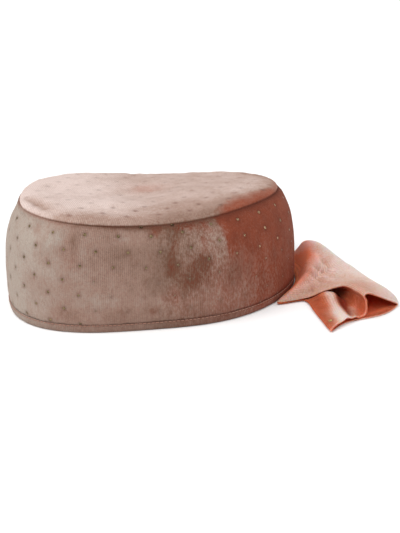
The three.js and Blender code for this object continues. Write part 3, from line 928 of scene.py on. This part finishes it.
def tail_paint(grid, key, dots):
    """nap, tone, frost and spot: the pile lies down beside the cap, on the flap and inside the mouth.
    The tone carries painted light: the valley beside the cap is painted brighter, and the far ridge has a
    painted highlight.
    """
    angle = np.arctan2(grid[..., 1], grid[..., 0])
    from_cap = np.linalg.norm(grid[..., :2], axis=-1) - rim_radius(angle)
    wide = noise_at(grid, "tail_wide")
    lower = smooth_step(LIP_KEY + 0.35, LIP_KEY - 0.3, key)
    side_on = ramp("beside_cap", grid[..., 1])
    lower = lower * (1 - 0.55 * side_on)
    far = smooth_step(FAR_KEY - 1.7, FAR_KEY - 0.8, key)
    # The valley beside the cap: the pile lies down there, and it is painted brighter, painted light that
    # lifts the shadow of the cap.
    valley = ramp("valley", from_cap + 0.002 * wide) * side_on * (1 - lower)
    glow = 0.42 * ramp("glow", from_cap + 0.003 * wide) * side_on * (1 - 0.8 * far)
    nap = np.maximum.reduce([lower, valley, glow])
    # The far ridge is paler, a painted highlight where sheen catches it; the valley adds its painted light.
    tone = 0.08 + 0.60 * smooth_step(FAR_KEY - 2.8, FAR_KEY - 1.0, key) + 0.45 * far + 0.08 * wide + valley
    # Painted highlight on the folds and painted shade in the furrows.
    for fold in TAIL_FOLDS:
        tone = tone + FOLD_SHADING * fold["height"] * crease_shape(grid[..., :2], fold) * (1 - lower)
    for stripes, where in ((FLAP_NAP_AND_SHADING_STRIPES, lower), (TOP_STRIPES, 1 - lower)):
        for stripe in stripes:
            share = crease_shape(grid[..., :2], stripe) * where
            nap = nap + stripe["nap"] * share
            tone = tone + stripe["tone"] * share
    return painted(nap, tone, TAIL_FROST + 0.04 * (1 - lower), dots)


def tail_dot_places(face):
    """Centre, normal and strength of the one foil dot that shows on the tail."""
    normals = grid_normals(face)
    first, last = (key * LOOP_STEPS for key in TAIL_DOT["keys"])
    centre, normal = nearest_place(face[:, first:last], normals[:, first:last], TAIL_DOT["plan"])
    normal = normal if normal[2] > 0 else -normal
    return [(centre + TAIL_DOT_LIFT * normal, normal, TAIL_DOT["strength"])]


def make_tail():
    outside = tail_rings(0.0, 0)
    hollow = tail_rings(TAIL_WALL, CLOSED_CUTS)
    key = np.arange(outside.shape[1]) / LOOP_STEPS
    from_root = smooth_step(0, 2 * CUT_STEPS, np.arange(len(hollow)))[:, None]
    outside[..., 2] += tail_relief(outside, key)
    hollow[..., 2] += tail_relief(hollow, key) * from_root
    press_near_edge(outside)
    press_near_edge(hollow)
    places = tail_dot_places(outside)
    field = dot_field(outside, places)
    outer = tail_paint(outside, np.broadcast_to(key, outside.shape[:2]), field)
    for place in places:
        outside -= np.array(place[1]) * (DOT_SINK * dot_field(outside, [place]))[..., None]
    outside[..., 2] = np.maximum(outside[..., 2], 0.0)
    rim = smooth_step(len(outside) - 2.8, len(outside) - 1, np.arange(len(outside)))[:, None]
    outer["nap"] = outer["nap"] * (1 - 0.40 * rim)
    outer["tone"] = outer["tone"] + 0.4 * rim
    shape = hollow.shape[:2]
    # Painted light inside the mouth: the hollow grows brighter deeper in, standing in for light that comes
    # through the thin cloth.
    depth = smooth_step(len(hollow) - 1, len(hollow) - 8, np.arange(len(hollow)))[:, None]
    inner_glow_tone = np.broadcast_to(1.4 * depth, shape)
    inner = painted(np.ones(shape), inner_glow_tone, np.full(shape, TAIL_FROST), np.zeros(shape))
    grid = np.concatenate([hollow, outside[::-1]])
    paint = {name: np.concatenate([inner[name], outer[name][::-1]]) for name in FIELDS}
    ends = (Vector(hollow[0].mean(axis=0)), Vector(outside[0].mean(axis=0)))
    return cloth_object("tail_cloth", grid, flat_cloth(grid, outside[-1]), paint, ends=ends), places


side_cloth, side_places = make_side_band()
hem_cloth = make_hem()
crown_cloth, crown_places = make_crown()
tail_cloth, tail_places = make_tail()


def lens_mesh(name, places):
    """Many small raised round dots in one mesh. places are (centre, normal, strength)."""
    points, faces, bright, whole = [], [], [], []
    for centre, normal, strength in places:
        shining = ramp("right_side", float(seen_angle(np.array([centre]))[0]))
        centre, normal = Vector(centre), Vector(normal).normalized()
        centre = centre - normal * DOT_SINK
        side = normal.orthogonal().normalized()
        other = normal.cross(side)
        size = DOT_RADIUS * (0.72 + 0.28 * strength)
        first = len(points)
        for radius, rise in DOT_RINGS:
            for k in range(DOT_SIDES):
                turn = 2 * math.pi * k / DOT_SIDES
                spoke = side * math.cos(turn) + other * math.sin(turn)
                points.append(centre + spoke * radius * size + normal * rise * DOT_RISE)
        middle = len(points)
        points.append(centre + normal * DOT_RISE)
        points.append(centre - normal * DOT_RISE)
        bright += [shining] * (len(points) - first)
        whole += [strength] * (len(points) - first)
        for k in range(DOT_SIDES):
            right = (k + 1) % DOT_SIDES
            for ring in (0, 1):
                low, high = first + ring * DOT_SIDES, first + (ring + 1) * DOT_SIDES
                faces.append((low + k, low + right, high + right, high + k))
            faces.append((middle, first + 2 * DOT_SIDES + k, first + 2 * DOT_SIDES + right))
            faces.append((middle + 1, first + right, first + k))
    obj = plain_object(name, points, faces)
    add_field(obj, "nap", bright)
    add_field(obj, "whole", whole)
    return obj


# Topstitches round the hem
STITCH_PITCH = 0.0027
STITCH_LENGTH = 0.0019
STITCH_RADIUS = 0.00027
STITCH_HEIGHT = 0.00485
STITCH_OUT = 0.00002
STITCH_SIDES = 6
# Along the stitch: share of its length, thickness, and how far out, in shares of its radius
STITCH_SECTIONS = [
    (-0.5, 0.35, -0.8), (-0.38, 0.85, -0.1), (0.0, 1.0, 0.3), (0.38, 0.85, -0.1), (0.5, 0.35, -0.8),
]


def make_stitches():
    ring = oval_ring(rim_radius(ANGLES) + STITCH_OUT, STITCH_HEIGHT)
    lengths = distances_round(ring)
    along = running_total(lengths)
    count = round(along[-1] / STITCH_PITCH)
    points, faces = [], []
    up = Vector((0, 0, 1))
    for i in range(count):
        at = i * along[-1] / count
        j = int(np.searchsorted(along, at, side="right")) - 1
        step = ring[(j + 1) % AROUND] - ring[j]
        here = ring[j] + step * (at - along[j]) / lengths[j]
        forward = Vector(step).normalized()
        out = forward.cross(up)
        first = len(points)
        for place, thick, rise in STITCH_SECTIONS:
            middle = Vector(here) + forward * place * STITCH_LENGTH + out * rise * STITCH_RADIUS
            for k in range(STITCH_SIDES):
                turn = 2 * math.pi * k / STITCH_SIDES
                spoke = out * math.cos(turn) + up * math.sin(turn)
                points.append(middle + spoke * thick * STITCH_RADIUS)
        last = len(points) - STITCH_SIDES
        for low in range(first, last, STITCH_SIDES):
            high = low + STITCH_SIDES
            for k in range(STITCH_SIDES):
                right = (k + 1) % STITCH_SIDES
                faces.append((low + k, high + k, high + right, low + right))
        faces.append(tuple(first + k for k in range(STITCH_SIDES)))
        faces.append(tuple(last + k for k in reversed(range(STITCH_SIDES))))
    return plain_object("hem_stitches", points, faces)


side_dots = lens_mesh("side_dots", side_places)
crown_dots = lens_mesh("crown_dots", crown_places)
tail_dots = lens_mesh("tail_dots", tail_places)
hem_stitches = make_stitches()


# Materials
class Nodes:
    """A short way to build a material's nodes."""

    def __init__(self, name):
        self.material = bpy.data.materials.new(name)
        self.material.use_nodes = True
        self.tree = self.material.node_tree
        self.shader = self.tree.nodes["Principled BSDF"]

    def add(self, kind, inputs=None, **settings):
        node = self.tree.nodes.new("ShaderNode" + kind)
        for key, value in settings.items():
            setattr(node, key, value)
        for key, value in (inputs or {}).items():
            self.put(node.inputs[key], value)
        return node

    def put(self, socket, value):
        if isinstance(value, bpy.types.NodeSocket):
            self.tree.links.new(value, socket)
        else:
            socket.default_value = value

    def surface(self, **inputs):
        """Sets or links inputs of the shader, whose names have a space for each underscore."""
        for key, value in inputs.items():
            self.put(self.shader.inputs[key.replace("_", " ")], value)

    def math(self, operation, a, b=0.0, clamp=False):
        return self.add("Math", {0: a, 1: b}, operation=operation, use_clamp=clamp).outputs[0]

    def noise(self, where, scale, detail=2.0, roughness=0.5):
        inputs = {"Vector": where, "Scale": scale, "Detail": detail, "Roughness": roughness}
        return self.add("TexNoise", inputs).outputs["Fac"]

    def stretch(self, where, scale):
        return self.add("Mapping", {"Vector": where, "Scale": scale}).outputs[0]

    def between(self, value, low, high, to_low=0.0, to_high=1.0):
        inputs = {"Value": value, "From Min": low, "From Max": high, "To Min": to_low, "To Max": to_high}
        return self.add("MapRange", inputs, clamp=True).outputs[0]

    def mix(self, share, a, b):
        node = self.add("Mix", data_type="RGBA")
        for index, value in ((0, share), (6, a), (7, b)):
            self.put(node.inputs[index], value)
        return node.outputs[2]

    def bump(self, height, distance, normal=None):
        inputs = {"Height": height, "Distance": distance, "Strength": 1.0}
        if normal is not None:
            inputs["Normal"] = normal
        return self.add("Bump", inputs).outputs[0]


def velvet(name, colours, rib, rough, sheen, shine=0.2):
    """Velvet, from the fields that are painted on the cloth.

    colours are pale, middle and dark of the standing pile, and the same of the pile that lies down; tone
    picks between them, so the pale and the dark colours also show painted light, sheen and shade.
    """
    pale, middle, dark, lying_pale, lying, lying_dark = (tuple(colour) + (1.0,) for colour in colours)
    nodes = Nodes(name)
    place = nodes.add("TexCoord").outputs["Object"]
    cloth = nodes.add("UVMap", uv_map="cloth").outputs[0]
    nap, tone, frost, spot = (nodes.add("Attribute", attribute_name=key).outputs["Fac"] for key in FIELDS)
    tufts = nodes.noise(nodes.stretch(place, (1.0, 1.0, 0.50)), 760.0, 3.0, 0.65)
    grains = nodes.noise(place, 1700.0, 2.0, 0.6)
    clouds = nodes.noise(place, 70.0, 5.0, 0.72)
    swing = nodes.between(tufts, 0.3, 0.7, -1.0, 1.0)
    uneven = nodes.math("MULTIPLY", swing, nodes.between(frost, 0.0, 1.0, 0.10, 0.38))
    brushed = nodes.math("ADD", nodes.math("MAXIMUM", nap, nodes.math("MULTIPLY", spot, 0.35)), uneven, True)
    shift = nodes.math("ADD", tone, nodes.between(clouds, 0.3, 0.7, -0.24, 0.24))
    shift = nodes.math("SUBTRACT", shift, uneven)
    up, down = nodes.between(shift, 0.0, 1.0), nodes.between(shift, 0.0, -1.0)
    standing = nodes.mix(down, nodes.mix(up, middle, pale), dark)
    brushed_down = nodes.mix(down, nodes.mix(up, lying, lying_pale), lying_dark)
    colour = nodes.mix(brushed, standing, brushed_down)
    across = nodes.add("SeparateXYZ", {0: cloth})
    ribs = nodes.math("SINE", nodes.math("MULTIPLY", across.outputs[0], 2 * math.pi / rib))
    clear = nodes.between(nodes.noise(place, 30.0, 2.0), 0.35, 0.65, 0.15, 1.0)
    ribs = nodes.math("MULTIPLY", ribs, clear)
    shade = nodes.between(grains, 0.25, 0.75, 0.88, 1.10)
    shade = nodes.math("MULTIPLY", shade, nodes.between(ribs, -1.0, 1.0, 0.87, 1.11))
    # spot darkens the rings round the foil dots, where the pile is pressed and painted shade fills the dent,
    # and the seam's crease with painted shade.
    shade = nodes.math("MULTIPLY", shade, nodes.between(spot, 0.0, 1.0, 1.0, 0.54))
    scaled = nodes.add("VectorMath", {0: colour, 1: shade}, operation="MULTIPLY").outputs[0]
    nodes.surface(Base_Color=scaled, Roughness=nodes.between(brushed, 0.0, 1.0, rough, rough - 0.12))
    nodes.surface(Specular_IOR_Level=shine, Sheen_Weight=sheen, Sheen_Roughness=0.45)
    nodes.surface(Sheen_Tint=(1.0, 0.70, 0.58, 1.0))
    knit = nodes.math("SINE", nodes.math("MULTIPLY", across.outputs[1], 2 * math.pi / (1.4 * rib)))
    weave = nodes.math("ADD", ribs, nodes.math("MULTIPLY", nodes.math("MULTIPLY", knit, clear), 0.3))
    normal = nodes.bump(weave, 0.00008)
    normal = nodes.bump(grains, 0.0004, normal)
    normal = nodes.bump(tufts, 0.0006, normal)
    nodes.surface(Normal=normal)
    return nodes


def foil(name, colours, rough, metal):
    """Foil print: worn and dark where the pile stands through it, brighter where the pile lies down."""
    dull, worn_through, bright, cloth = (tuple(colour) + (1.0,) for colour in colours)
    nodes = Nodes(name)
    place = nodes.add("TexCoord").outputs["Object"]
    lying = nodes.add("Attribute", attribute_name="nap").outputs["Fac"]
    whole = nodes.add("Attribute", attribute_name="whole").outputs["Fac"]
    flakes = nodes.noise(place, 1400.0, 2.0, 0.6)
    tone = nodes.mix(nodes.between(flakes, 0.40, 0.60), worn_through, nodes.mix(lying, dull, bright))
    tone = nodes.mix(nodes.between(whole, 0.15, 0.75), cloth, tone)
    nodes.surface(Base_Color=tone, Metallic=nodes.between(whole, 0.15, 0.75, 0.0, metal))
    nodes.surface(Roughness=nodes.between(flakes, 0.3, 0.7, rough + 0.15, rough))
    nodes.surface(Normal=nodes.bump(flakes, 0.0003))
    return nodes


def thread(name, colour):
    nodes = Nodes(name)
    place = nodes.add("TexCoord").outputs["Object"]
    ply = nodes.noise(nodes.stretch(place, (1.0, 1.0, 3.0)), 1800.0, 1.0, 0.5)
    tone = nodes.mix(ply, tuple(0.7 * c for c in colour[:3]) + (1.0,), colour)
    nodes.surface(Base_Color=tone, Roughness=0.6, Normal=nodes.bump(ply, 0.0001))
    return nodes


SIDE_COLOURS = [
    (0.43, 0.355, 0.30), (0.335, 0.212, 0.166), (0.17, 0.092, 0.060),
    (0.32, 0.090, 0.048), (0.240, 0.052, 0.023), (0.165, 0.033, 0.014),
]
# The top panel's velvet is a paler copy of the side band's: painted light and sheen on the top, which the
# light falls on from above.
CROWN_LIT_COLOURS = [
    (0.74, 0.60, 0.55), (0.45, 0.31, 0.255), (0.22, 0.125, 0.088),
    (0.44, 0.150, 0.085), (0.37, 0.105, 0.055), (0.25, 0.060, 0.030),
]
HEM_COLOURS = [
    (0.35, 0.280, 0.235), (0.27, 0.168, 0.130), (0.14, 0.075, 0.050),
    (0.28, 0.082, 0.045), (0.215, 0.050, 0.025), (0.15, 0.032, 0.015),
]
# The tail's pale colours also show painted light: the pale pink of its ridge and folds, and the bright
# orange of the valley beside the cap and of the inside of the mouth.
TAIL_COLOURS = [
    (0.74, 0.60, 0.55), (0.56, 0.310, 0.230), (0.20, 0.060, 0.036),
    (0.92, 0.200, 0.088), (0.46, 0.102, 0.042), (0.20, 0.026, 0.012),
]
CAP_RIB = 0.00125
TAIL_RIB = 0.0012
SIDE_VELVET = velvet("side_velvet", SIDE_COLOURS, CAP_RIB, rough=0.92, sheen=0.05)
CROWN_VELVET = velvet("crown_velvet", CROWN_LIT_COLOURS, CAP_RIB, rough=0.92, sheen=0.08)
HEM_VELVET = velvet("hem_velvet", HEM_COLOURS, CAP_RIB, rough=0.92, sheen=0.05)
TAIL_VELVET = velvet("tail_velvet", TAIL_COLOURS, TAIL_RIB, rough=0.66, sheen=0.015, shine=0.06)
# Light goes through the tail's thin cloth
TAIL_VELVET.surface(Subsurface_Weight=0.5, Subsurface_Radius=(1.0, 0.22, 0.10), Subsurface_Scale=0.004)
GOLD_COLOURS = [(0.30, 0.22, 0.115), (0.08, 0.056, 0.030), (0.62, 0.40, 0.23)]
GOLD = foil("gold_foil", GOLD_COLOURS + [(0.22, 0.14, 0.10)], rough=0.34, metal=0.85)
PANEL_GOLD_COLOURS = [(0.20, 0.15, 0.065), (0.06, 0.045, 0.025), (0.68, 0.48, 0.17)]
PANEL_GOLD = foil("panel_foil", PANEL_GOLD_COLOURS + [(0.36, 0.265, 0.22)], rough=0.70, metal=0.10)
THREAD = thread("hem_thread", (0.46, 0.22, 0.155, 1.0))

for piece, nodes in (
    (side_cloth, SIDE_VELVET), (crown_cloth, CROWN_VELVET),
    (hem_cloth, HEM_VELVET), (tail_cloth, TAIL_VELVET),
    (side_dots, GOLD), (crown_dots, PANEL_GOLD), (tail_dots, PANEL_GOLD), (hem_stitches, THREAD),
):
    piece.data.materials.append(nodes.material)
    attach(piece, "root")

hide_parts("side_band")
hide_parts("hem_band")
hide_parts("crown_top")
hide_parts("tail")

# Floor, light and camera
FLOOR_RADIUS = 30.0
FLOOR_Z = -0.0002
SUNS = [
    {"name": "key", "from": (-0.48, -0.12, 0.87), "strength": 2.9, "spread": 60},
    {"name": "fill", "from": (0.78, -0.46, 0.42), "strength": 0.92, "spread": 80},
]
SKY_STRENGTH = 0.30

bpy.ops.mesh.primitive_circle_add(
    vertices=96, radius=FLOOR_RADIUS, fill_type="NGON", location=(0, 0, FLOOR_Z),
)
floor = bpy.context.object
floor.name = "floor"
paper = Nodes("paper")
grain = paper.noise(paper.add("TexCoord").outputs["Object"], 3.0, 2.0)
paper.surface(Base_Color=paper.mix(grain, (0.93, 0.93, 0.93, 1), (0.95, 0.95, 0.95, 1)))
paper.surface(Roughness=0.95, Specular_IOR_Level=0.1)
floor.data.materials.append(paper.material)

for light in SUNS:
    sun_data = bpy.data.lights.new(light["name"], "SUN")
    sun_data.energy = light["strength"]
    sun_data.angle = math.radians(light["spread"])
    sun = bpy.data.objects.new(light["name"], sun_data)
    sun.rotation_euler = Vector(light["from"]).to_track_quat("Z", "Y").to_euler()
    bpy.context.scene.collection.objects.link(sun)

world = bpy.data.worlds.new("studio")
world.use_nodes = True
sky = world.node_tree.nodes["Background"]
sky.inputs["Color"].default_value = (1.0, 1.0, 1.0, 1.0)
sky.inputs["Strength"].default_value = SKY_STRENGTH
bpy.context.scene.world = world
bpy.context.scene.view_settings.view_transform = "Standard"

CAMERA_AZIMUTH = math.radians(-21.234)
CAMERA_ELEVATION = math.radians(20.447)
CAMERA_ROLL = math.radians(-0.652)
CAMERA_DISTANCE = 0.5698
CAMERA_TARGET = Vector((0.0284, -0.0185, 0.0163))
CAMERA_LENS = 54.03

camera_data = bpy.data.cameras.new("camera")
camera_data.lens = CAMERA_LENS
camera_data.sensor_width = 36.0
camera_data.clip_start = 0.01
camera_data.clip_end = 100.0
camera = bpy.data.objects.new("camera", camera_data)
bpy.context.scene.collection.objects.link(camera)
back = Vector((
    math.sin(CAMERA_AZIMUTH) * math.cos(CAMERA_ELEVATION),
    -math.cos(CAMERA_AZIMUTH) * math.cos(CAMERA_ELEVATION),
    math.sin(CAMERA_ELEVATION),
))
right = Vector((0, 0, 1)).cross(back).normalized()
up = back.cross(right)
tilted_right = right * math.cos(CAMERA_ROLL) + up * math.sin(CAMERA_ROLL)
tilted_up = up * math.cos(CAMERA_ROLL) - right * math.sin(CAMERA_ROLL)
turn = Matrix((tilted_right, tilted_up, back)).transposed()
camera.matrix_world = Matrix.Translation(CAMERA_TARGET + back * CAMERA_DISTANCE) @ turn.to_4x4()
bpy.context.scene.camera = camera
